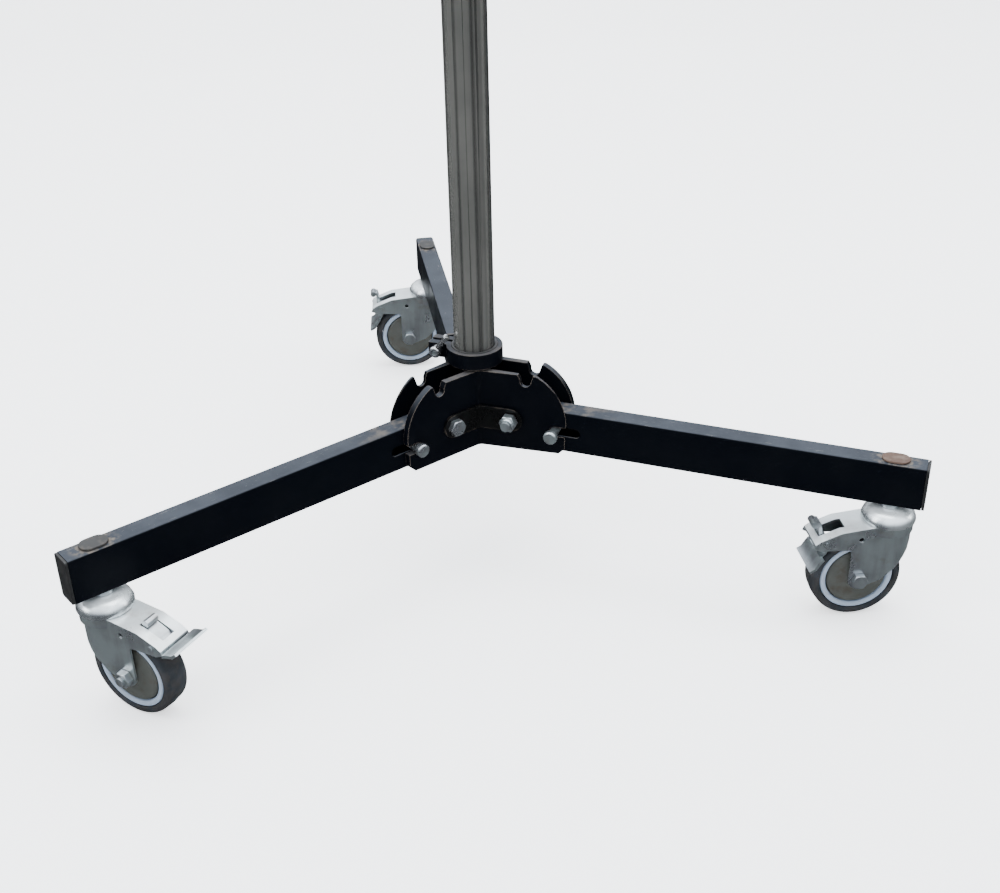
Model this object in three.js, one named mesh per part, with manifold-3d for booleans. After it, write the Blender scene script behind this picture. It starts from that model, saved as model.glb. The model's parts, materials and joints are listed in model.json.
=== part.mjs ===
// Rolling stand that carries studio backgrounds: a three-legged folding base on braked castors,
// a clamped steel column and a telescopic riser. Millimetres, +Z up, rear leg along +Y.
import * as THREE from 'three';
import { mergeVertices } from 'three/addons/utils/BufferGeometryUtils.js';
import Module from 'manifold-3d';

const wasm = await Module();
wasm.setup();

// ---- driving dimensions -------------------------------------------------------------------
const GAP = 0.3; // running or assembly gap between two pieces
const legs = [
  { name: 'rear', angle: 90, castor: 174, pressed: true },
  { name: 'left', angle: 210, castor: -38, pressed: false },
  { name: 'right', angle: 330, castor: 177, pressed: true },
];
const leg = { width: 25, height: 50, wall: 2, corner: 2, low: 136, from: 26, to: 503 };
const pivot = { x: 50, z: 171, r: 6 };
const lock = { x: 100, z: 161, r: 5.25, travel: 22, headR: 8, headFrom: 26, headTo: 33 };
const plate = { near: 13.25, far: 21.25, low: 133, high: 227.5, bend: 33.78, tip: 63.5 };
const strap = { near: 21.55, far: 24.55, half: 14 };
const core = { r: 17.4, high: 231 };
const collar = { r: 32, bore: 26.5, low: 231.3, floor: 236, top: 249, angle: 150 };
const ear = { out: 52, thick: 8.5, slit: 5, low: 232, boltX: 41, boltZ: 241, boltR: 3 };
const column = { r: 23, bore: 21, low: 236.3, top: 900 };
const riser = { r: 19, bore: 17, low: 560, top: 1040 };
const head = { r: 31, low: 880, top: 925, knobZ: 912, bossR: 9, bossOut: 38 };
const stemX = 471; // castor stem along its leg
const stem = { r: 6, low: 106.5, top: 151 };
const cup = { r: 28.8, low: 115.3, top: 131 };
const fork = { inner: 17.5, outer: 20, discR: 27, top: 115, sheet: 2.8, skirt: 105 };
const axle = { x: 32, z: 50, r: 5 };
const wheel = { r: 50, half: 15, seat: 40.8, ringR: 40.5, ringIn: 33.7, guardR: 33.3 };
const pinHole = { x: 34, z: 101, r: 3 };
const pedal = { x: 71, z: 98.3, pinR: 3, half: 23.6, web: 16.5, humpHalf: 7.5, humpR: 4, swing: 73 };
const opening = { from: 50, to: 78, half: 8.3 };

// ---- building blocks ----------------------------------------------------------------------
const X = new THREE.Vector3(1, 0, 0);
const Y = new THREE.Vector3(0, 1, 0);
const Z = new THREE.Vector3(0, 0, 1);
const rad = THREE.MathUtils.degToRad;

// A closed three.js geometry as a solid for booleans.
function solid(geometry) {
  geometry.deleteAttribute('normal');
  geometry.deleteAttribute('uv');
  const merged = mergeVertices(geometry, 1e-4);
  const index = merged.index.array;
  const triangles = [];
  for (let i = 0; i < index.length; i += 3) {
    const [a, b, c] = [index[i], index[i + 1], index[i + 2]];
    if (a !== b && b !== c && c !== a) triangles.push(a, b, c);
  }
  const mesh = new wasm.Mesh({
    numProp: 3,
    vertProperties: merged.attributes.position.array,
    triVerts: new Uint32Array(triangles),
  });
  return new wasm.Manifold(mesh);
}

function outline(points) {
  return new THREE.Shape(points.map(([a, b]) => new THREE.Vector2(a, b)));
}

function extruded(shape, from, to, curveSegments) {
  const options = { depth: to - from, bevelEnabled: false, curveSegments };
  return new THREE.ExtrudeGeometry(shape, options).translate(0, 0, from);
}

// Plan shape (x, y) raised from one height to another.
function upright(shape, from, to, curveSegments = 4) {
  return solid(extruded(shape, from, to, curveSegments));
}

// Side shape (x, z) carried across y.
function across(shape, from, to, curveSegments = 5) {
  const turn = new THREE.Matrix4().makeBasis(X, Z, Y.clone().negate());
  return solid(extruded(shape, -to, -from, curveSegments).applyMatrix4(turn));
}

// End shape (y, z) carried along x.
function along(shape, from, to, curveSegments = 2) {
  const turn = new THREE.Matrix4().makeBasis(Y, Z, X);
  return solid(extruded(shape, from, to, curveSegments).applyMatrix4(turn));
}

function block(x0, x1, y0, y1, z0, z1) {
  const box = new THREE.BoxGeometry(x1 - x0, y1 - y0, z1 - z0);
  return solid(box.translate((x0 + x1) / 2, (y0 + y1) / 2, (z0 + z1) / 2));
}

// Round bar across y at (x, z).
function barY(r, from, to, x, z, segments = 12) {
  const bar = new THREE.CylinderGeometry(r, r, to - from, segments);
  return solid(bar.translate(x, (from + to) / 2, z));
}

// Upright round bar at (x, 0).
function barZ(r, from, to, x = 0, segments = 24) {
  const bar = new THREE.CylinderGeometry(r, r, to - from, segments).rotateX(rad(90));
  return solid(bar.translate(x, 0, (from + to) / 2));
}

// Profile [radius, height] turned about +Z; 'ring' closes a profile that stays off the axis.
function turned(profile, segments, ring = false) {
  const points = profile.map(([r, h]) => new THREE.Vector2(r, h));
  if (ring) points.push(points[0].clone());
  return solid(new THREE.LatheGeometry(points, segments).rotateX(rad(90)));
}

// The same turned about a line across y at (x, z); profile heights become y.
function turnedY(profile, segments, x, z, ring = false) {
  return turned(profile, segments, ring).rotate([-90, 0, 0]).translate([x, 0, z]);
}

function mirroredY(body) {
  return body.mirror([0, 1, 0]);
}

function roundedBox(width, low, high, corner) {
  const shape = new THREE.Shape();
  const w = width / 2;
  shape.absarc(w - corner, low + corner, corner, rad(-90), 0);
  shape.absarc(w - corner, high - corner, corner, 0, rad(90));
  shape.absarc(-w + corner, high - corner, corner, rad(90), rad(180));
  shape.absarc(-w + corner, low + corner, corner, rad(180), rad(270));
  shape.closePath();
  return shape;
}

function hexagon(acrossFlats) {
  const r = acrossFlats / Math.sqrt(3);
  return outline([0, 60, 120, 180, 240, 300].map((a) => [r * Math.cos(rad(a)), r * Math.sin(rad(a))]));
}

// Hexagon along +Z with its far corners turned off, as on a bolt head or a nut.
function hexHead(acrossFlats, from, to) {
  const flat = acrossFlats / 2;
  const corner = acrossFlats / Math.sqrt(3) + 0.1;
  const cone = turned([[0, from - 1], [corner, from - 1], [corner, to - 1.2], [flat, to], [0, to]], 12);
  return upright(hexagon(acrossFlats), from, to).intersect(cone);
}

// Lays a body made along +Z across y, on the side given by its sign, at (x, z).
function laidAcross(body, side, x, z) {
  return body.rotate([side * -90, 0, 0]).translate([x, 0, z]);
}

function finish(color, roughness, metalness) {
  return new THREE.MeshStandardMaterial({ color, roughness, metalness });
}
const blackPaint = () => finish(0x15171b, 0.42, 0.3);
const blackPlastic = () => finish(0x1d1d1e, 0.6, 0);
const zinc = () => finish(0xb4bec2, 0.32, 0.9);
const chrome = () => finish(0x85878a, 0.16, 1);
const tyreRubber = () => finish(0x34373b, 0.75, 0);
const rimPlastic = () => finish(0xa3b0c0, 0.5, 0);
const guardPlastic = () => finish(0x6b6c63, 0.6, 0.2);
const rustyCap = () => finish(0x4b352c, 0.8, 0.1);

function mesh(name, body, material) {
  const { vertProperties, triVerts, numProp } = body.getMesh();
  const positions = new Float32Array((vertProperties.length / numProp) * 3);
  for (let i = 0; i < positions.length / 3; i += 1) {
    positions.set(vertProperties.subarray(i * numProp, i * numProp + 3), i * 3);
  }
  const geometry = new THREE.BufferGeometry();
  geometry.setAttribute('position', new THREE.BufferAttribute(positions, 3));
  geometry.setIndex(new THREE.BufferAttribute(new Uint32Array(triVerts), 1));
  geometry.computeVertexNormals();
  const part = new THREE.Mesh(geometry, material);
  part.name = name;
  return part;
}

// ---- hub ----------------------------------------------------------------------------------

// Plan of sheet bent between two legs, with the bisector along +X: it runs along both legs.
function bentPlan(near, far, length) {
  const edge = plate.bend * Math.sin(rad(60));
  const at = (u, offset, side) => new THREE.Vector2(
    u * Math.cos(rad(60)) + offset * Math.sin(rad(60)),
    side * (u * Math.sin(rad(60)) - offset * Math.cos(rad(60))),
  );
  const shape = new THREE.Shape();
  shape.moveTo(...at(length, far, 1));
  shape.absarc(plate.bend, 0, edge - far, rad(150), rad(210), false);
  shape.lineTo(...at(length, far, -1));
  shape.lineTo(...at(length, near, -1));
  shape.absarc(plate.bend, 0, edge - near, rad(210), rad(150), true);
  shape.lineTo(...at(length, near, 1));
  shape.closePath();
  return shape;
}

// What is cut off a wing outside its edge: chamfer, lock notch, guide arc and storage notch.
function wingOffcut() {
  const notch = 6;
  const fold = { x: pivot.x + 51 * Math.cos(rad(71)), z: pivot.z + 51 * Math.sin(rad(71)) };
  const shape = new THREE.Shape();
  shape.moveTo(105, plate.low - 5);
  shape.lineTo(105, plate.low);
  shape.lineTo(112, plate.low + 7);
  shape.lineTo(112, lock.z - notch);
  shape.absarc(lock.x, lock.z, notch, rad(270), rad(90), true);
  shape.absarc(pivot.x, pivot.z, plate.tip, rad(-3.6), rad(65.6), false);
  shape.absarc(fold.x, fold.z, notch, rad(71 - 90), rad(71 + 90), true);
  shape.lineTo(58, plate.high);
  shape.lineTo(58, plate.high + 5);
  shape.lineTo(140, plate.high + 5);
  shape.lineTo(140, plate.low - 5);
  shape.closePath();
  return across(shape, 5, 32, 7);
}

// What is cut off a strap's arm outside its round end.
function strapOffcut() {
  const shape = new THREE.Shape();
  shape.absarc(pivot.x, pivot.z, strap.half, rad(90), rad(-90), true);
  shape.lineTo(pivot.x, pivot.z - strap.half - 5);
  shape.lineTo(90, pivot.z - strap.half - 5);
  shape.lineTo(90, pivot.z + strap.half + 5);
  shape.lineTo(pivot.x, pivot.z + strap.half + 5);
  shape.closePath();
  return across(shape, 5, 32, 6);
}

// Bent sheet with both ends trimmed and bored for the pivot bolts.
function bentSheet(plan, low, high, offcut) {
  const bore = barY(pivot.r + GAP, 5, 32, pivot.x, pivot.z);
  const cut = offcut.add(bore);
  return upright(plan, low, high)
    .subtract(cut.rotate([0, 0, -60]))
    .subtract(mirroredY(cut.rotate([0, 0, -60])));
}

function hubPlate() {
  return bentSheet(bentPlan(plate.near, plate.far, 120), plate.low, plate.high, wingOffcut());
}

function strapLink() {
  const low = pivot.z - strap.half;
  const high = pivot.z + strap.half;
  return bentSheet(bentPlan(strap.near, strap.far, 70), low, high, strapOffcut());
}

function pivotBolt() {
  const seat = strap.far + GAP;
  const shank = barZ(pivot.r, -seat - 15.5, seat + 1, 0, 12);
  return laidAcross(shank.add(hexHead(18, seat, seat + 7.5)), 1, pivot.x, pivot.z);
}

function pivotNut() {
  const seat = strap.far + GAP;
  const nylonEnd = turned([[0, 8], [8, 8], [8, 10.5], [7, 12], [0, 12]], 12).translate([0, 0, seat]);
  const body = hexHead(18, seat, seat + 9).add(nylonEnd);
  return laidAcross(body.subtract(barZ(pivot.r + GAP, seat - 1, seat + 13, 0, 12)), -1, pivot.x, pivot.z);
}

// Split clamp on the hub; its ears point along +X.
function columnCollar() {
  const slit = ear.slit / 2;
  const faces = slit + ear.thick;
  const ring = barZ(collar.r, collar.low, collar.top, 0, 32);
  const lugs = block(collar.bore + 2, ear.out, -faces, faces, ear.low, collar.top);
  return ring.add(lugs)
    .subtract(barZ(collar.bore, collar.floor, collar.top + 1, 0, 32))
    .subtract(block(0, ear.out + 1, -slit, slit, collar.floor, collar.top + 1))
    .subtract(block(collar.r + 2, ear.out + 1, -slit, slit, collar.low - 1, collar.top + 1))
    .subtract(barY(ear.boltR + GAP, -faces - 1, faces + 1, ear.boltX, ear.boltZ));
}

function clampBolt() {
  const faces = ear.slit / 2 + ear.thick + GAP;
  const shank = barZ(ear.boltR, -faces - 9, faces + 1, 0, 10);
  return laidAcross(shank.add(hexHead(10, faces, faces + 5)), -1, ear.boltX, ear.boltZ);
}

// Cranked handle on the clamp bolt: turned hub, tapered arm and ball end.
function clampLever() {
  const seat = ear.slit / 2 + ear.thick + GAP;
  const tip = 23;
  const boss = turnedY([[ear.boltR + GAP, seat], [7, seat], [7, seat + 8], [5.5, seat + 10],
    [ear.boltR + GAP, seat + 10]], 14, 0, 0, true);
  const arm = turned([[0, 4], [4, 4], [2.8, tip - 4], [3.9, tip - 2], [4.2, tip], [3.2, tip + 3],
    [0, tip + 4.2]], 10);
  const bore = barY(ear.boltR + GAP, seat - 1, seat + 12, 0, 0);
  return arm.rotate([0, -35, 0]).translate([0, seat + 5.5, 0]).add(boss).subtract(bore)
    .translate([ear.boltX, 0, ear.boltZ]);
}

// ---- column -------------------------------------------------------------------------------
function tube(r, bore, low, top, segments) {
  return barZ(r, low, top, 0, segments).subtract(barZ(bore, low - 1, top + 1, 0, segments));
}

function riserTube() {
  return barZ(riser.r, riser.low, riser.top)
    .subtract(barZ(riser.bore, riser.low - 1, riser.top - 3));
}

function topClamp() {
  const profile = [
    [column.r + GAP, head.low], [head.r, head.low], [head.r, head.top - 3], [head.r - 4, head.top],
    [riser.r + GAP, head.top], [riser.r + GAP, column.top + GAP], [column.r + GAP, column.top + GAP],
  ];
  const sideways = (bar) => bar.rotate([0, 90, 0]).translate([0, 0, head.knobZ]);
  const boss = sideways(barZ(head.bossR, head.r - 5, head.bossOut, 0, 14));
  const stud = sideways(barZ(4.3, riser.r - 1, head.bossOut + 1, 0, 10));
  return turned(profile, 24, true).add(boss).subtract(stud);
}

function topKnob() {
  const lobes = new THREE.Shape();
  for (let i = 0; i < 30; i += 1) {
    const a = (i / 30) * 2 * Math.PI;
    const r = 15.5 + 2.5 * Math.cos(5 * a);
    lobes[i ? 'lineTo' : 'moveTo'](r * Math.cos(a), r * Math.sin(a));
  }
  lobes.closePath();
  const seat = head.bossOut + GAP;
  const grip = upright(lobes, seat + 5, seat + 18);
  const neck = barZ(8, seat, seat + 6, 0, 14);
  const stud = barZ(4, riser.r + GAP, seat + 1, 0, 10);
  return grip.add(neck).add(stud).rotate([0, 90, 0]).translate([0, 0, head.knobZ]);
}

// ---- leg, in its own frame: +X out along the leg ---------------------------------------------
function oval(length, width) {
  const shape = new THREE.Shape();
  const r = width / 2;
  const run = length / 2 - r;
  shape.absarc(stemX + run, 0, r, rad(-90), rad(90));
  shape.absarc(stemX - run, 0, r, rad(90), rad(270));
  shape.closePath();
  return shape;
}

function legTube() {
  const { width, height, wall, low, corner } = leg;
  const top = low + height;
  const slot = new THREE.Shape();
  const slotR = lock.r + 0.5;
  slot.absarc(lock.x + lock.travel + 2, lock.z, slotR, rad(-90), rad(90));
  slot.absarc(lock.x, lock.z, slotR, rad(90), rad(270));
  slot.closePath();
  return along(roundedBox(width, low, top, corner), leg.from, leg.to)
    .subtract(along(roundedBox(width - 2 * wall, low + wall, top - wall, 1), leg.from - 1, leg.to + 1, 1))
    .subtract(across(slot, -width, width))
    .subtract(barY(pivot.r + GAP, -width, width, pivot.x, pivot.z))
    .subtract(barZ(stem.r + GAP, low - 1, low + wall + 1, stemX, 12))
    .subtract(upright(oval(25, 16), top - wall - 1, top + 1));
}

function endPlug() {
  const { width, height, wall, low } = leg;
  const fit = wall + GAP;
  const flange = along(roundedBox(width, low, low + height, 3), leg.to + GAP, leg.to + 3.3);
  const inside = roundedBox(width - 2 * fit, low + fit, low + height - fit, 1);
  const spigot = along(inside, leg.to - 14, leg.to + 2, 1);
  return flange.add(spigot).subtract(block(leg.to - 15, leg.to - 2, -7, 7, low + 8, low + height - 8));
}

function topPlug() {
  const top = leg.low + leg.height;
  const button = upright(oval(29.5, 20.5), top + GAP, top + 3, 6);
  return button.add(upright(oval(24.4, 15.4), top - 3, top + 1));
}

function lockPin() {
  const { r, headR, headFrom, headTo } = lock;
  const upper = [[r, headFrom], [headR, headFrom], [headR, headTo - 1.5], [headR - 1.5, headTo], [0, headTo]];
  const lower = upper.map(([a, b]) => [a, -b]).reverse();
  return turnedY([...lower, ...upper], 14, lock.x, lock.z);
}

// ---- castor, in its own frame: stem on the Z axis, wheel trailing along +X --------------------
function castorStem() {
  const under = fork.top - fork.sheet - GAP;
  const neckTop = leg.low - GAP;
  const nut = leg.low + leg.wall + GAP;
  const neckLow = cup.top + GAP;
  return turned([
    [0, stem.low], [9, stem.low], [9, under], [stem.r, under], [stem.r, neckLow], [11, neckLow],
    [11, neckTop], [stem.r, neckTop], [stem.r, nut], [10, nut], [10, nut + 7], [stem.r, nut + 7],
    [stem.r, stem.top], [0, stem.top],
  ], 12);
}

function swivelCup() {
  const bore = stem.r + GAP;
  return turned([
    [bore, cup.low], [cup.r, cup.low], [cup.r, cup.low + 4], [cup.r - 2, cup.low + 9],
    [cup.r - 6.5, cup.low + 13], [14, cup.top], [bore, cup.top],
  ], 24, true);
}

// Side outline of the pressed fork: cheeks down to the axle, and the arm that holds the brake.
function forkSide() {
  const shape = new THREE.Shape();
  shape.moveTo(-26, fork.top);
  shape.lineTo(-26, 99);
  shape.lineTo(-20, 82);
  shape.lineTo(-7, 62);
  shape.lineTo(8, 48);
  shape.absarc(axle.x, axle.z, 11.5, rad(225), rad(360), false);
  shape.lineTo(43, 85);
  shape.lineTo(45, 89);
  shape.lineTo(56, 90);
  shape.lineTo(77, 90.5);
  shape.lineTo(86, 94.5);
  shape.lineTo(84, 99);
  shape.lineTo(78, 103);
  shape.lineTo(56, 111.5);
  shape.lineTo(24, fork.top);
  shape.closePath();
  return shape;
}

// Plan outline of the fork: straight cheeks joined by a half-round back.
function forkPlan(half) {
  const shape = new THREE.Shape();
  shape.absarc(-6, 0, half, rad(90), rad(270), false);
  shape.lineTo(99, -half);
  shape.lineTo(99, half);
  shape.closePath();
  return shape;
}

// Space inside the fork: a channel open below and at the arm's end.
function forkTunnel() {
  const top = fork.top - fork.sheet;
  const under = outline([
    [-30, -10], [-30, top], [24, top], [55.4, 108.7], [77, 100.2], [87, 96.3], [99, 76.5], [99, -10],
  ]);
  return across(under, -fork.inner, fork.inner).intersect(upright(forkPlan(fork.inner), -10, 120, 6));
}

function castorFork() {
  const disc = barZ(fork.discR, fork.skirt, fork.top);
  const sides = across(forkSide(), -fork.outer, fork.outer);
  const holes = barY(axle.r + GAP, -25, 25, axle.x, axle.z)
    .add(barY(pedal.pinR + GAP, -25, 25, pedal.x, pedal.z, 10))
    .add(barY(pinHole.r, -25, 25, pinHole.x, pinHole.z, 8))
    .add(barZ(stem.r + GAP, 100, fork.top + 1, 0, 12))
    .add(block(opening.from, opening.to, -opening.half, opening.half, 90, fork.top + 5));
  return disc.add(sides.intersect(upright(forkPlan(fork.outer), 0, fork.top, 6)))
    .subtract(forkTunnel())
    .subtract(holes);
}

// Rocking brake pedal, its outlines drawn from its cross pin: tread outside the arm, web and tongue
// inside it, and a round hump that stands in the arm's window.
function brakePedal(pressed) {
  const { x, z, pinR, half, web, humpHalf, humpR, swing } = pedal;
  const tread = outline([
    [17.5, -2.5], [23, -0.5], [31, 1.2], [36.5, 6.5], [34.5, 8.5], [29.8, 4.4], [22.5, 2.8], [17.5, 1],
  ]);
  const inner = outline([
    [-2, 2.5], [-3, -2.5], [5, -5.2], [12.5, -4.8], [18.5, -2], [18.5, 1], [17.5, 1], [15.8, -2.9],
    [12, -3.3], [6, -0.7], [2, 2.8],
  ]);
  const tongue = outline([[3, 1.5], [0.5, 5.3], [-13, 11.5], [-17, 15], [-17.5, 10.5], [-4, 3], [-2.5, -2]]);
  const body = across(tread, -half, half)
    .add(across(inner, -web, web))
    .add(across(tongue, -humpHalf, humpHalf))
    .add(barY(pinR, -fork.outer - 1, fork.outer + 1, 0, 0, 10))
    .add(barY(humpR, -humpHalf, humpHalf, -14, 16));
  return body.rotate([0, pressed ? swing : 0, 0]).translate([x, 0, z]);
}

function axleBolt() {
  const seat = fork.outer + GAP;
  const shank = barZ(axle.r, -seat - 11, seat + 1, 0, 12);
  return laidAcross(shank.add(hexHead(16, seat, seat + 6)), 1, axle.x, axle.z);
}

function axleNut() {
  const seat = fork.outer + GAP;
  const body = hexHead(16, seat, seat + 8).subtract(barZ(axle.r + GAP, seat - 1, seat + 9, 0, 12));
  return laidAcross(body, -1, axle.x, axle.z);
}

function tyre() {
  const { r, half, seat } = wheel;
  const section = [
    [seat, -half + 1], [r - 5, -half], [r - 1, -half + 5], [r, 0], [r - 1, half - 5], [r - 5, half],
    [seat, half - 1],
  ];
  return turnedY(section, 32, axle.x, axle.z, true);
}

function wheelRim() {
  const { ringR, ringIn, half } = wheel;
  const section = [[ringIn, -half + 2], [ringR, -half + 1], [ringR, half - 1], [ringIn, half - 2]];
  return turnedY(section, 32, axle.x, axle.z, true);
}

// Hub with the round thread guards that cover its bearings.
function wheelHub() {
  const bore = axle.r + 0.1;
  const end = fork.inner - GAP;
  const section = [
    [bore, -end], [9, -end], [10, -end + 2.5], [wheel.guardR, -13], [wheel.guardR, 13],
    [10, end - 2.5], [9, end], [bore, end],
  ];
  return turnedY(section, 24, axle.x, axle.z, true);
}

// ---- assembly -----------------------------------------------------------------------------
function castor({ name, castor: heading, pressed }) {
  const group = new THREE.Group();
  group.position.x = stemX;
  group.add(
    mesh(`castor_stem_${name}`, castorStem(), zinc()),
    mesh(`swivel_cup_${name}`, swivelCup(), zinc()),
  );
  const swivel = new THREE.Group();
  swivel.add(
    mesh(`fork_${name}`, castorFork(), zinc()),
    mesh(`brake_pedal_${name}`, brakePedal(pressed), zinc()),
    mesh(`axle_bolt_${name}`, axleBolt(), zinc()),
    mesh(`axle_nut_${name}`, axleNut(), zinc()),
    mesh(`tyre_${name}`, tyre(), tyreRubber()),
    mesh(`wheel_rim_${name}`, wheelRim(), rimPlastic()),
    mesh(`wheel_hub_${name}`, wheelHub(), guardPlastic()),
  );
  swivel.rotation.z = rad(heading);
  group.add(swivel);
  return group;
}

function legAssembly(spec) {
  const group = new THREE.Group();
  const { name, angle } = spec;
  group.add(
    mesh(`leg_tube_${name}`, legTube(), blackPaint()),
    mesh(`leg_end_plug_${name}`, endPlug(), blackPlastic()),
    mesh(`leg_top_plug_${name}`, topPlug(), name === 'right' ? rustyCap() : blackPlastic()),
    mesh(`lock_pin_${name}`, lockPin(), zinc()),
    mesh(`pivot_bolt_${name}`, pivotBolt(), zinc()),
    mesh(`pivot_nut_${name}`, pivotNut(), zinc()),
  );
  const running = castor({ ...spec, castor: spec.castor - angle });
  group.add(running);
  group.rotation.z = rad(angle);
  return group;
}

function hub() {
  const group = new THREE.Group();
  group.add(mesh('hub_core', barZ(core.r, plate.low, core.high), blackPaint()));
  [['front', 270], ['right_rear', 30], ['left_rear', 150]].forEach(([name, angle]) => {
    const side = new THREE.Group();
    side.add(
      mesh(`hub_plate_${name}`, hubPlate(), blackPaint()),
      mesh(`strap_${name}`, strapLink(), blackPaint()),
    );
    side.rotation.z = rad(angle);
    group.add(side);
  });
  const clamp = new THREE.Group();
  clamp.add(
    mesh('column_collar', columnCollar(), blackPaint()),
    mesh('clamp_bolt', clampBolt(), zinc()),
    mesh('clamp_lever', clampLever(), chrome()),
  );
  clamp.rotation.z = rad(collar.angle);
  group.add(clamp);
  return group;
}

function mast() {
  const group = new THREE.Group();
  const bush = tube(collar.bore - GAP, column.r + GAP, column.low, collar.top + 1, 32);
  group.add(
    mesh('column_bush', bush, blackPlastic()),
    mesh('column_tube', tube(column.r, column.bore, column.low, column.top, 32), chrome()),
    mesh('top_clamp', topClamp(), blackPlastic()),
    mesh('top_knob', topKnob(), blackPlastic()),
    mesh('riser_tube', riserTube(), chrome()),
  );
  return group;
}

const stand = new THREE.Group();
stand.add(hub(), mast(), ...legs.map(legAssembly));

// The origin is on the floor, under the middle of the footprint.
stand.updateMatrixWorld(true);
const middle = new THREE.Box3().setFromObject(stand, true).getCenter(new THREE.Vector3());
stand.position.set(-middle.x, -middle.y, 0);
stand.updateMatrixWorld(true);

export default stand;
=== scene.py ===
import json
import math

import bmesh
import bpy
from mathutils import Matrix, Vector


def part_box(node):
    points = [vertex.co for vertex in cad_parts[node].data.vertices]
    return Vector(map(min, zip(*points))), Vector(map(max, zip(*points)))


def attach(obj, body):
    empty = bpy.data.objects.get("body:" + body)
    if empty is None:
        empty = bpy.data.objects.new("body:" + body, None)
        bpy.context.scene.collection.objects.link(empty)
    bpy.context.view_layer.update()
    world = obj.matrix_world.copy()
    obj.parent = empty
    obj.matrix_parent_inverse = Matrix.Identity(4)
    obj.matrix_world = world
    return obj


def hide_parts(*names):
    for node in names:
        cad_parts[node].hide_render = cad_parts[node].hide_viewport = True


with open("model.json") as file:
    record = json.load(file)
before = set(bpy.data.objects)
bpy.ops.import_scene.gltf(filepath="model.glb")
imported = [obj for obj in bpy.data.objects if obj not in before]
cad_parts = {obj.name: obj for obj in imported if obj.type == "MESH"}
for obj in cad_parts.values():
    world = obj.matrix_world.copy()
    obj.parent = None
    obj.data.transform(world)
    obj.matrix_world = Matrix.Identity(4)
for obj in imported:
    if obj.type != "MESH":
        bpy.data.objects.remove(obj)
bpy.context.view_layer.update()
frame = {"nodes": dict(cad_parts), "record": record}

LEG_ANGLES = {"rear": 90, "left": 210, "right": 330}
COLUMN_X, COLUMN_Y = [(a + b) / 2 for a, b in zip(*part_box("column_tube"))][:2]
JOINTS = {j["name"]: j for j in frame["record"]["behaviour"]["joints"]}
CASTOR_REACH = math.dist(JOINTS["castor_swivel_rear"]["pos_m"][:2], (COLUMN_X, COLUMN_Y))

# Profiles of a wheel's dressed pieces, in metres.
TYRE = {"radius": 0.05, "half": 0.015, "seat": 0.0408, "shoulder": 0.0052, "crown": 0.00035}
RING = {"outer": 0.0401, "inner": 0.0341, "half": 0.014}
HUB = {"bore": 0.0051, "boss": 0.0088, "end": 0.0172, "foot": 0.0135, "face": 0.0142, "outer": 0.0339}
WHEEL_SEGMENTS = 96

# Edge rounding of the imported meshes: metres and degrees.
WELD_GAP = 0.00002
FLAT_ANGLE = 0.6
SHARP_ANGLE = 32
BEVEL_SEGMENTS = 2

# The roughness of every noise, and linear colours that more than one finish uses.
NOISE_ROUGHNESS = 0.55
COAT_DARK = (0.0006, 0.001, 0.0022, 1)
# Painted sheen: a lighter blue-grey laid on faces that point up, standing in for the sky's glancing
# reflection on the black coat.
PAINTED_SKY_SHEEN = (0.046, 0.052, 0.063, 1)


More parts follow.
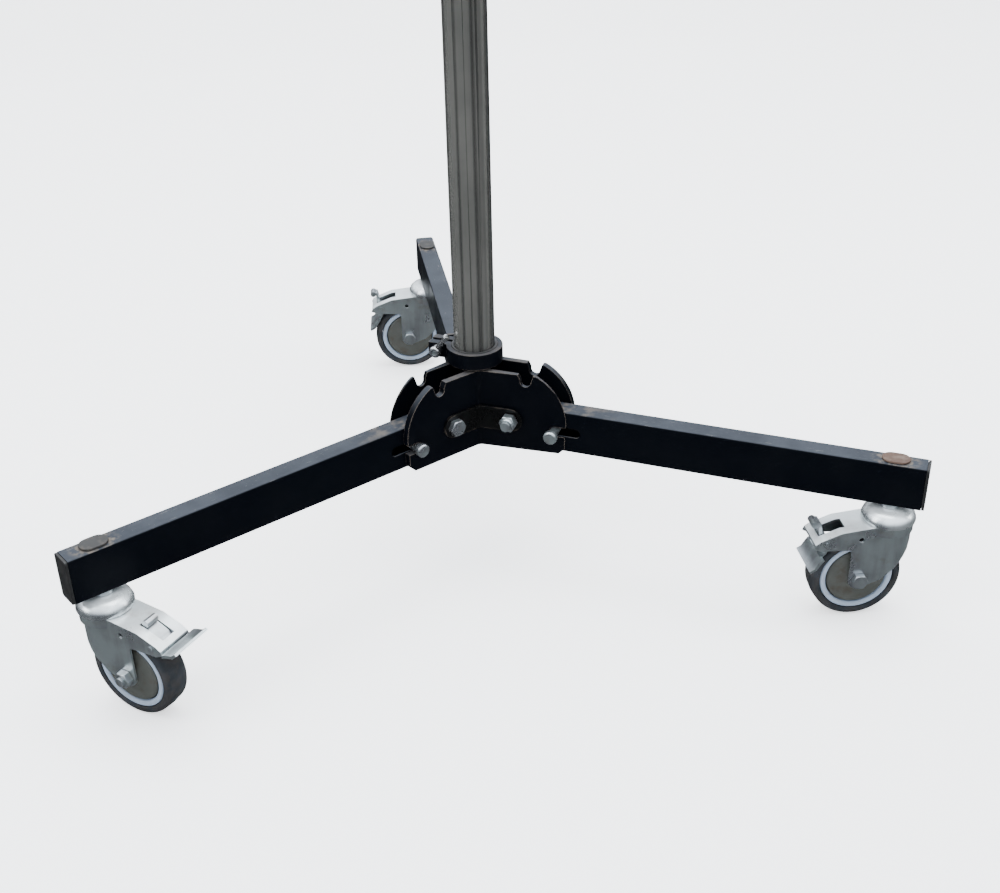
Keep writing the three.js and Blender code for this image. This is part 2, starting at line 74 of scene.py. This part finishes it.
# ---- shader building ------------------------------------------------------------------------
class Finish:
    """A Principled material and the few nodes its procedural layers are made of."""

    def __init__(self, name, turn=0.0):
        self.material = bpy.data.materials.new(name)
        self.material.use_nodes = True
        self.tree = self.material.node_tree
        self.shader = self.tree.nodes["Principled BSDF"]
        self.place = self.node("ShaderNodeMapping", vector_type="TEXTURE")
        self.place.inputs["Location"].default_value = (COLUMN_X, COLUMN_Y, 0)
        self.place.inputs["Rotation"].default_value = (0, 0, math.radians(turn))
        coords = self.node("ShaderNodeTexCoord")
        self.join(coords.outputs["Object"], self.place.inputs["Vector"])
        self.point = self.place.outputs[0]

    def node(self, kind, **settings):
        made = self.tree.nodes.new(kind)
        for key, value in settings.items():
            setattr(made, key, value)
        return made

    def join(self, source, target):
        if isinstance(source, (int, float, tuple)):
            target.default_value = source
        else:
            self.tree.links.new(source, target)

    def math(self, operation, a, b=0.0):
        made = self.node("ShaderNodeMath", operation=operation)
        self.join(a, made.inputs[0])
        self.join(b, made.inputs[1])
        return made.outputs[0]

    def noise(self, scale, detail, stretch=(1, 1, 1)):
        spread = self.node("ShaderNodeVectorMath", operation="MULTIPLY")
        self.join(self.point, spread.inputs[0])
        spread.inputs[1].default_value = stretch
        made = self.node("ShaderNodeTexNoise")
        self.join(spread.outputs[0], made.inputs["Vector"])
        made.inputs["Scale"].default_value = scale
        made.inputs["Detail"].default_value = detail
        made.inputs["Roughness"].default_value = NOISE_ROUGHNESS
        return made.outputs["Fac"]

    def between(self, value, low, high, to_low=0.0, to_high=1.0):
        made = self.node("ShaderNodeMapRange", interpolation_type="SMOOTHSTEP")
        self.join(value, made.inputs["Value"])
        for key, number in zip(("From Min", "From Max", "To Min", "To Max"), (low, high, to_low, to_high)):
            made.inputs[key].default_value = number
        return made.outputs[0]

    def mix(self, factor, a, b):
        made = self.node("ShaderNodeMix", data_type="RGBA")
        self.join(factor, made.inputs[0])
        self.join(a, made.inputs[6])
        self.join(b, made.inputs[7])
        return made.outputs[2]

    def edges(self, radius=0.0009, low=0.02, high=0.25):
        """1 on convex and concave edges, from how far a rounded normal leans away from the flat one."""
        rounded = self.node("ShaderNodeBevel", samples=4)
        rounded.inputs["Radius"].default_value = radius
        flat = self.node("ShaderNodeNewGeometry")
        dot = self.node("ShaderNodeVectorMath", operation="DOT_PRODUCT")
        self.join(rounded.outputs[0], dot.inputs[0])
        self.join(flat.outputs["Normal"], dot.inputs[1])
        return self.between(self.math("SUBTRACT", 1.0, dot.outputs["Value"]), low, high)

    def axes(self):
        split = self.node("ShaderNodeSeparateXYZ")
        self.join(self.point, split.inputs[0])
        return split.outputs

    def facing_up(self, low=0.5, high=0.9):
        normal = self.node("ShaderNodeNewGeometry").outputs["Normal"]
        split = self.node("ShaderNodeSeparateXYZ")
        self.join(normal, split.inputs[0])
        return self.between(split.outputs["Z"], low, high)

    def bump(self, height, strength, distance=0.0003):
        made = self.node("ShaderNodeBump")
        made.inputs["Strength"].default_value = strength
        made.inputs["Distance"].default_value = distance
        self.join(height, made.inputs["Height"])
        self.join(made.outputs[0], self.shader.inputs["Normal"])

    def done(self, colour, roughness, metallic=0.0, **constants):
        self.join(colour, self.shader.inputs["Base Color"])
        self.join(roughness, self.shader.inputs["Roughness"])
        self.join(metallic, self.shader.inputs["Metallic"])
        for key, value in constants.items():
            self.shader.inputs[key.replace("_", " ")].default_value = value
        return self.material


def grey(value, warm=0.0):
    return (value * (1 + warm), value, value * (1 - warm), 1.0)


# ---- materials ------------------------------------------------------------------------------
def powder_coat(name, worn, dust):
    """Black powder coat: fine orange-peel bump, tan dust and a painted sky sheen on top faces, bare steel
    on worn edges.
    """
    f = Finish(name)
    cloud = f.noise(22, 6)
    fine = f.noise(900, 2)
    scratch = f.between(f.noise(260, 3, (1, 9, 9)), 0.68, 0.74)
    rub = f.math("MULTIPLY", f.edges(), f.between(f.noise(75, 5), 0.5 - 0.2 * worn, 0.75 - 0.2 * worn))
    top = f.facing_up()
    film = f.math("MULTIPLY", f.math("MULTIPLY", top, f.between(cloud, 0.4, 0.72)), dust)
    base = f.mix(cloud, COAT_DARK, (0.0018, 0.0024, 0.004, 1))
    # Painted reflection: faces that point up are mixed towards a lighter blue-grey, as if the coat
    # mirrored the sky.
    sky = f.mix(f.math("MULTIPLY", top, 0.6), base, PAINTED_SKY_SHEEN)
    dusty = f.mix(film, sky, (0.14, 0.12, 0.1, 1))
    marked = f.mix(f.math("MULTIPLY", scratch, f.math("MULTIPLY", top, 0.5)), dusty, grey(0.22, 0.05))
    colour = f.mix(f.math("MULTIPLY", rub, worn), marked, (0.2, 0.17, 0.14, 1))
    f.bump(f.math("ADD", fine, f.math("MULTIPLY", cloud, 0.4)), 0.16)
    rough = f.math("ADD", f.between(cloud, 0.3, 0.7, 0.3, 0.44), f.math("MULTIPLY", film, 0.4))
    return f.done(colour, rough, Specular_IOR_Level=0.05)


def leg_coat(name, turn, tan):
    """The same coat on a leg, with rub marks by the hub, a dusty halo round the top plug and a painted sky
    sheen on top faces.
    """
    f = Finish(name, turn)
    x, y, _ = f.axes()
    cloud = f.noise(24, 6)
    fine = f.noise(900, 2)
    top = f.facing_up()
    along_plug = f.math("MULTIPLY", f.math("SUBTRACT", x, CASTOR_REACH), 0.75)
    halo_x = f.math("POWER", f.math("ABSOLUTE", along_plug), 2.0)
    halo = f.math("SQRT", f.math("ADD", halo_x, f.math("POWER", f.math("ABSOLUTE", y), 2.0)))
    near_plug = f.between(halo, 0.012, 0.0215, 1.0, 0.0)
    ring = f.math("MULTIPLY", near_plug, f.between(f.noise(150, 5), 0.38, 0.62))
    by_hub = f.math("MULTIPLY", f.between(x, 0.1, 0.19, 1.0, 0.0), f.between(f.noise(60, 6), 0.46, 0.66))
    streak = f.between(f.noise(120, 3, (0.35, 6, 6)), 0.66, 0.72)
    nick = f.between(f.noise(330, 2, (1, 3, 3)), 0.72, 0.75)
    rub = f.math("MULTIPLY", f.edges(0.0012), f.between(f.noise(48, 6), 0.52, 0.7))
    dirt = f.math("MULTIPLY", top, f.math("MAXIMUM", ring, f.math("MULTIPLY", by_hub, 0.8)))
    base = f.mix(cloud, COAT_DARK, (0.0016, 0.0024, 0.004, 1))
    # Painted reflection: faces that point up are mixed towards the lighter blue-grey of a mirrored sky,
    # more so where the cloud is high.
    sky = f.mix(f.math("MULTIPLY", top, f.between(cloud, 0.2, 0.8, 0.6, 1.0)), base, PAINTED_SKY_SHEEN)
    dirty = f.mix(f.math("MULTIPLY", dirt, tan), sky, (0.15, 0.13, 0.108, 1))
    lines = f.math("MULTIPLY", f.math("MAXIMUM", streak, nick), f.math("MULTIPLY", top, 0.35))
    marked = f.mix(lines, dirty, grey(0.3, 0.03))
    colour = f.mix(f.math("MULTIPLY", rub, 0.4), marked, (0.13, 0.12, 0.115, 1))
    f.bump(f.math("ADD", fine, f.math("MULTIPLY", cloud, 0.5)), 0.14)
    rough = f.math("ADD", f.between(cloud, 0.3, 0.7, 0.28, 0.4), f.math("MULTIPLY", dirt, 0.4))
    return f.done(colour, rough, Specular_IOR_Level=0.05)


def strap_coat(name):
    """Glossy black strap with brown dust caught along its outline."""
    f = Finish(name)
    rim = f.math("MULTIPLY", f.edges(0.0022, 0.004, 0.16), f.between(f.noise(90, 5), 0.42, 0.62))
    cloud = f.noise(60, 5)
    plain = f.mix(cloud, grey(0.001), grey(0.003))
    colour = f.mix(f.math("MULTIPLY", rim, 0.5), plain, (0.1, 0.082, 0.066, 1))
    f.bump(f.noise(500, 3), 0.15)
    return f.done(colour, f.between(cloud, 0.3, 0.7, 0.22, 0.38), Specular_IOR_Level=0.2)


def zinc_plate(name, grime, tint=(0.5, 0.56, 0.57, 1), dull=0.26, painted_top_glare=0.0):
    """Zinc-plated steel: soft clouds, faint runs, a few brown stains and a painted highlight that turns
    top faces pale and less metallic.
    """
    f = Finish(name)
    cloud = f.noise(26, 4)
    runs = f.noise(70, 3, (1, 1, 0.15))
    stain = f.math("MULTIPLY", f.between(f.noise(32, 5), 0.55, 0.75), grime)
    base = f.mix(f.between(f.math("ADD", cloud, runs), 0.8, 1.2), grey(0.4, -0.05), tint)
    # Painted highlight: faces that point up turn pale and less metallic, standing in for bright glare on
    # their tops.
    painted_glare_mask = f.math("MULTIPLY", f.facing_up(0.3, 0.95), painted_top_glare)
    colour = f.mix(stain, f.mix(painted_glare_mask, base, (0.88, 0.92, 0.92, 1)), (0.24, 0.2, 0.15, 1))
    rough = f.math("ADD", f.between(cloud, 0.3, 0.7, dull, dull + 0.1), f.math("MULTIPLY", stain, 0.2))
    return f.done(colour, rough, f.math("SUBTRACT", 0.93, f.math("MULTIPLY", painted_glare_mask, 0.8)))


def column_plate(name):
    """Steel tube gone satin grey: fine dark vertical lines, a few painted dark bands of reflection and
    faint handling haze.
    """
    f = Finish(name)
    lines = f.noise(230, 3, (1, 1, 0.004))
    dark_reflection_noise = f.noise(48, 2, (1, 1, 0.002))
    cloud = f.noise(14, 6, (1, 1, 0.5))
    fine_dark_lines = f.between(lines, 0.5, 0.62)
    # Painted reflection: broad dark vertical bands, where a chrome tube would mirror dark surroundings.
    shade = f.between(dark_reflection_noise, 0.48, 0.6)
    plain = f.mix(f.between(cloud, 0.4, 0.7), (0.15, 0.15, 0.138, 1), (0.19, 0.187, 0.172, 1))
    lined = f.mix(f.math("MULTIPLY", fine_dark_lines, 0.75), plain, grey(0.02, 0.02))
    colour = f.mix(f.math("MULTIPLY", shade, 0.85), lined, grey(0.014, -0.03))
    f.bump(lines, 0.012)
    return f.done(colour, f.between(cloud, 0.3, 0.7, 0.16, 0.26), 0.7)


def polished(name):
    """Bright chrome with a faint cloud and a few brown pits."""
    f = Finish(name)
    cloud = f.noise(90, 5)
    pit = f.between(f.noise(300, 4), 0.66, 0.74)
    plain = f.mix(cloud, grey(0.5), grey(0.78, -0.01))
    colour = f.mix(f.math("MULTIPLY", pit, 0.5), plain, (0.2, 0.16, 0.12, 1))
    f.bump(cloud, 0.06)
    return f.done(colour, f.between(cloud, 0.3, 0.7, 0.07, 0.18), 0.97)


def tyre_rubber(name, turn):
    """Dark grey rubber, clouded, with a fine grain and patches of dry brown dirt."""
    f = Finish(name, turn)
    cloud = f.noise(48, 6)
    grit = f.noise(700, 3)
    colour = f.mix(f.between(cloud, 0.35, 0.7), (0.011, 0.013, 0.016, 1), (0.021, 0.024, 0.028, 1))
    dirt = f.math("MULTIPLY", f.between(f.noise(85, 6), 0.42, 0.6), 0.25)
    soiled = f.mix(dirt, colour, (0.04, 0.031, 0.024, 1))
    f.bump(f.math("ADD", grit, f.math("MULTIPLY", cloud, 0.7)), 0.3, 0.0004)
    return f.done(soiled, f.between(cloud, 0.3, 0.7, 0.55, 0.75), Specular_IOR_Level=0.15)


def moulding(name, light, dark, dirt_colour, dirt_amount, rough):
    """Moulded plastic: faint flow clouding, fine texture and dirt in patches."""
    f = Finish(name)
    cloud = f.noise(55, 5)
    dirt = f.math("MULTIPLY", f.between(f.noise(95, 6), 0.5, 0.68), dirt_amount)
    edge = f.math("MULTIPLY", f.edges(0.0015), 0.25)
    colour = f.mix(edge, f.mix(dirt, f.mix(cloud, dark, light), dirt_colour), light)
    f.bump(f.noise(650, 3), 0.14)
    return f.done(colour, f.between(cloud, 0.3, 0.7, rough, rough + 0.14), Specular_IOR_Level=0.45)


# ---- shaping --------------------------------------------------------------------------------
def soften(piece, width):
    """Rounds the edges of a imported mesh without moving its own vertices."""
    for polygon in piece.data.polygons:
        polygon.use_smooth = True
    weld = piece.modifiers.new("weld", "WELD")
    weld.merge_threshold = WELD_GAP
    flat = piece.modifiers.new("flat", "DECIMATE")
    flat.decimate_type = "DISSOLVE"
    flat.angle_limit = math.radians(FLAT_ANGLE)
    bevel = piece.modifiers.new("edge", "BEVEL")
    bevel.width = width
    bevel.segments = BEVEL_SEGMENTS
    bevel.limit_method = "ANGLE"
    bevel.angle_limit = math.radians(SHARP_ANGLE)
    bevel.use_clamp_overlap = True
    normals = piece.modifiers.new("normals", "WEIGHTED_NORMAL")
    normals.keep_sharp = False


def place_on(joint):
    """Matrix whose Z is a joint's axis, with its origin on the joint."""
    axis = Vector(joint["axis"])
    turn = Vector((0, 0, 1)).rotation_difference(axis).to_matrix().to_4x4()
    return Matrix.Translation(joint["pos_m"]) @ turn


def lathe(name, profile, segments, matrix):
    """Closed ring from (radius, height) points in metres, turned about Z, then placed."""
    shape = bmesh.new()
    rows = []
    for i in range(segments):
        a = 2 * math.pi * i / segments
        rows.append([shape.verts.new((r * math.cos(a), r * math.sin(a), h)) for r, h in profile])
    count = len(profile)
    for i in range(segments):
        row, after = rows[i], rows[(i + 1) % segments]
        for k in range(count):
            n = (k + 1) % count
            shape.faces.new((row[k], after[k], after[n], row[n]))
    bmesh.ops.recalc_face_normals(shape, faces=shape.faces)
    for face in shape.faces:
        face.smooth = True
    data = bpy.data.meshes.new(name)
    shape.to_mesh(data)
    shape.free()
    data.transform(matrix)
    piece = bpy.data.objects.new(name, data)
    bpy.context.scene.collection.objects.link(piece)
    return piece


def arc(centre, radius, start, end, steps):
    angles = [math.radians(start + (end - start) * i / steps) for i in range(steps + 1)]
    return [(centre[0] + radius * math.cos(a), centre[1] + radius * math.sin(a)) for a in angles]


def tyre_profile():
    """Half-round shoulders, a slightly crowned tread and a small lip against the rim."""
    radius, half, seat, shoulder = (TYRE[k] for k in ("radius", "half", "seat", "shoulder"))
    tread = half - shoulder
    drop = TYRE["crown"]
    crown = [(radius - drop * (1 - math.cos(math.pi * k / 4)), tread * k / 4) for k in range(-3, 4)]
    upper = arc((radius - 2 * drop - shoulder, tread), shoulder, 4, 84, 6)
    lower = [(a, -b) for a, b in reversed(upper)]
    lip = [(seat + 0.0016, half - 0.0002), (seat + 0.0006, half - 0.0008), (seat, half - 0.0016)]
    return lower + crown + upper + lip + [(a, -b) for a, b in reversed(lip)]


def rim_profile():
    """Light ring between tyre and guard, raised in the middle and stepped at both borders."""
    outer, inner, half = RING["outer"], RING["inner"], RING["half"]
    side = [(outer, half - 0.0012), (outer - 0.0009, half - 0.0003), (outer - 0.0024, half),
            (inner + 0.0022, half - 0.0002), (inner + 0.0008, half - 0.0007), (inner, half - 0.0018)]
    return side + [(a, -b) for a, b in reversed(side)]


def guard_profile():
    """Hub end, shallow dished disc with a pressed step, and a rolled outer edge."""
    bore, boss, end, foot, face, outer = (HUB[k] for k in ("bore", "boss", "end", "foot", "face", "outer"))
    side = [(bore, end), (boss, end), (boss + 0.0006, end - 0.0006), (boss + 0.0014, end - 0.0026),
            (foot, face), (foot + 0.0007, face - 0.0006), (foot + 0.0127, face - 0.0011),
            (foot + 0.0136, face - 0.0014), (outer - 0.0021, face - 0.0012),
            (outer - 0.0016, face - 0.0018), (outer - 0.0014, face - 0.0044), (outer, face - 0.0048)]
    return side + [(a, -b) for a, b in reversed(side)]


def dress_wheel(leg):
    joint = JOINTS[f"wheel_spin_{leg}"]
    matrix = place_on(joint)
    turn = math.degrees(math.atan2(joint["axis"][1], joint["axis"][0])) - 90
    parts = (
        ("tyre", tyre_profile(), tyre_rubber(f"rubber_{leg}", turn), "tyre_rubber"),
        ("wheel_rim", rim_profile(), RIM, "rim_plastic"),
        ("wheel_hub", guard_profile(), GUARD, "guard_plastic"),
    )
    for kind, profile, material, slot in parts:
        piece = lathe(f"shaped_{kind}_{leg}", profile, WHEEL_SEGMENTS, matrix)
        piece.data.materials.append(material)
        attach(piece, f"wheel_{leg}")
        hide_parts(f"{kind}_{leg}")


# ---- finishes on the pieces -----------------------------------------------------------------
PLATE = powder_coat("plate_coat", 1.0, 0.5)
COLLAR = powder_coat("collar_coat", 0.8, 0.45)
CORE = powder_coat("core_coat", 0.2, 0.3)
STRAP = strap_coat("strap_coat")
ZINC = zinc_plate("zinc_hardware", 0.35)
# Fork and cup get the pale painted highlight on faces that point up.
FORK_ZINC = zinc_plate("zinc_fork", 0.45, painted_top_glare=0.6)
PEDAL_ZINC = zinc_plate("zinc_pedal", 0.45)
CUP_ZINC = zinc_plate("zinc_cup", 0.15, (0.78, 0.83, 0.84, 1), 0.2, painted_top_glare=0.6)
COLUMN = column_plate("column_chrome")
LEVER = polished("lever_chrome")
RIM = moulding("rim_ring", (0.21, 0.26, 0.33, 1), (0.16, 0.2, 0.26, 1),
               (0.2, 0.19, 0.17, 1), 0.3, 0.42)
GUARD = moulding("thread_guard", (0.05, 0.053, 0.045, 1), (0.028, 0.03, 0.026, 1),
                 (0.034, 0.027, 0.018, 1), 0.7, 0.4)
PLASTIC = moulding("black_moulding", grey(0.01), grey(0.004), (0.05, 0.042, 0.035, 1), 0.15, 0.5)
BUSH = moulding("bush_moulding", grey(0.02), grey(0.01), (0.08, 0.07, 0.06, 1), 0.3, 0.4)
DARK_PLUG = moulding("dark_plug", (0.022, 0.021, 0.02, 1), grey(0.01), (0.08, 0.066, 0.05, 1), 0.4, 0.5)
RUSTY_PLUG = moulding("rusty_plug", (0.1, 0.055, 0.035, 1), (0.04, 0.022, 0.016, 1),
                      (0.16, 0.12, 0.09, 1), 0.5, 0.6)

LOOKS = {
    "hub_plate": (PLATE, 0.0007), "hub_core": (CORE, 0.001), "column_collar": (COLLAR, 0.001),
    "strap": (STRAP, 0.0006), "clamp_bolt": (ZINC, 0.0003), "clamp_lever": (LEVER, 0.0006),
    "column_bush": (BUSH, 0.0006), "column_tube": (COLUMN, 0.0005), "riser_tube": (COLUMN, 0.0006),
    "top_clamp": (PLASTIC, 0.001), "top_knob": (PLASTIC, 0.001), "leg_end_plug": (PLASTIC, 0.0008),
    "leg_top_plug": (DARK_PLUG, 0.0012), "lock_pin": (ZINC, 0.0005), "pivot_bolt": (ZINC, 0.0004),
    "pivot_nut": (ZINC, 0.0004), "castor_stem": (ZINC, 0.0004), "swivel_cup": (CUP_ZINC, 0.0012),
    "fork": (FORK_ZINC, 0.0007), "brake_pedal": (PEDAL_ZINC, 0.0006), "axle_bolt": (ZINC, 0.0004),
    "axle_nut": (ZINC, 0.0004), "leg_tube": (None, 0.0005),
}
LEG_COATS = {leg: leg_coat(f"leg_coat_{leg}", angle, 0.9) for leg, angle in LEG_ANGLES.items()}
SHAPED = ("tyre", "wheel_rim", "wheel_hub")


def kind_of(node):
    """The longest key of LOOKS that a node's name starts with."""
    return max((k for k in LOOKS if node.startswith(k)), key=len)


def dress(node, piece):
    material, width = LOOKS[kind_of(node)]
    if material is None:
        material = LEG_COATS[node.rsplit("_", 1)[1]]
    if node == "leg_top_plug_right":
        material = RUSTY_PLUG
    piece.data.materials.clear()
    piece.data.materials.append(material)
    soften(piece, width)


for name, obj in frame["nodes"].items():
    if not name.startswith(SHAPED):
        dress(name, obj)
for leg_name in LEG_ANGLES:
    dress_wheel(leg_name)


# ---- floor, light and camera ----------------------------------------------------------------
SKY_COLOUR = (0.86, 0.92, 1.0, 1)
SKY_FADE = {"From Min": 0.05, "From Max": 0.7, "To Min": 0.08, "To Max": 2.9}
LAMPS = (
    # name, place, target, size in metres, watts, colour
    ("overhead", (0.2, 0.4, 3.0), (0, 0, 0.1), (2.6, 2.2), 95, (0.97, 0.99, 1)),
    ("left_strip", (-2.2, -0.6, 1.8), (0, 0, 0.3), (1.1, 2.4), 34, (1, 1, 1)),
    ("right_strip", (2.3, -0.3, 1.6), (0, 0, 0.3), (0.35, 2.2), 20, (1, 1, 1)),
)
EYE = (-0.1881, -1.3617, 0.9035)
YAW, PITCH, ROLL = 0.1565, 0.521, -0.021
LENS = 48.39


def backdrop():
    """Pale floor that turns up into a wall far behind."""
    front, foot, bend, top, half_width = -6, 2.2, 1.2, 6, 7
    sweep = [(foot + b, bend + a) for a, b in arc((0, 0), bend, 180, 90, 12)]
    profile = [(front, 0.0), (foot, 0.0)] + sweep + [(foot + bend, top)]
    shape = bmesh.new()
    rows = [[shape.verts.new((x, y, z)) for y, z in profile] for x in (-half_width, half_width)]
    for k in range(len(profile) - 1):
        shape.faces.new((rows[0][k], rows[1][k], rows[1][k + 1], rows[0][k + 1])).smooth = True
    data = bpy.data.meshes.new("backdrop")
    shape.to_mesh(data)
    shape.free()
    piece = bpy.data.objects.new("backdrop", data)
    bpy.context.scene.collection.objects.link(piece)
    f = Finish("backdrop_paper")
    f.done(f.mix(f.noise(3, 3), grey(0.93), grey(0.95)), 0.9, Specular_IOR_Level=0.1,
           Emission_Color=(1, 1, 1, 1), Emission_Strength=1.1)
    data.materials.append(f.material)
    piece.visible_glossy = False


def softbox(name, place, target, size, power, colour):
    """Rectangular lamp at a place, turned to shine at a target."""
    data = bpy.data.lights.new(name, "AREA")
    data.shape = "RECTANGLE"
    data.size, data.size_y = size
    data.energy = power
    data.color = colour
    lamp = bpy.data.objects.new(name, data)
    lamp.location = place
    lamp.rotation_euler = (Vector(target) - Vector(place)).to_track_quat("-Z", "Y").to_euler()
    bpy.context.scene.collection.objects.link(lamp)


def light():
    """Sky that is dark at the horizon and bright above, with three soft lamps."""
    world = bpy.data.worlds.new("studio")
    world.use_nodes = True
    nodes, links = world.node_tree.nodes, world.node_tree.links
    sky = nodes["Background"]
    sky.inputs["Color"].default_value = SKY_COLOUR
    height = nodes.new("ShaderNodeSeparateXYZ")
    links.new(nodes.new("ShaderNodeTexCoord").outputs["Generated"], height.inputs[0])
    fade = nodes.new("ShaderNodeMapRange")
    fade.interpolation_type = "SMOOTHSTEP"
    for key, number in SKY_FADE.items():
        fade.inputs[key].default_value = number
    links.new(height.outputs["Z"], fade.inputs["Value"])
    links.new(fade.outputs[0], sky.inputs["Strength"])
    bpy.context.scene.world = world
    for lamp in LAMPS:
        softbox(*lamp)


def camera():
    """The photographer's viewpoint: EYE is measured from the column's foot, and angles are radians."""
    level = Vector((math.sin(YAW), math.cos(YAW), 0))
    forward = math.cos(PITCH) * level - math.sin(PITCH) * Vector((0, 0, 1))
    right = Vector((math.cos(YAW), -math.sin(YAW), 0))
    up = right.cross(forward)
    x = math.cos(ROLL) * right + math.sin(ROLL) * up
    y = -math.sin(ROLL) * right + math.cos(ROLL) * up
    data = bpy.data.cameras.new("view")
    data.lens = LENS
    data.sensor_width = 36
    seat = bpy.data.objects.new("view", data)
    turn = Matrix((x, y, -forward)).transposed().to_4x4()
    seat.matrix_world = Matrix.Translation(Vector((COLUMN_X, COLUMN_Y, 0)) + Vector(EYE)) @ turn
    bpy.context.scene.collection.objects.link(seat)
    bpy.context.scene.camera = seat


backdrop()
light()
camera()
bpy.context.view_layer.update()
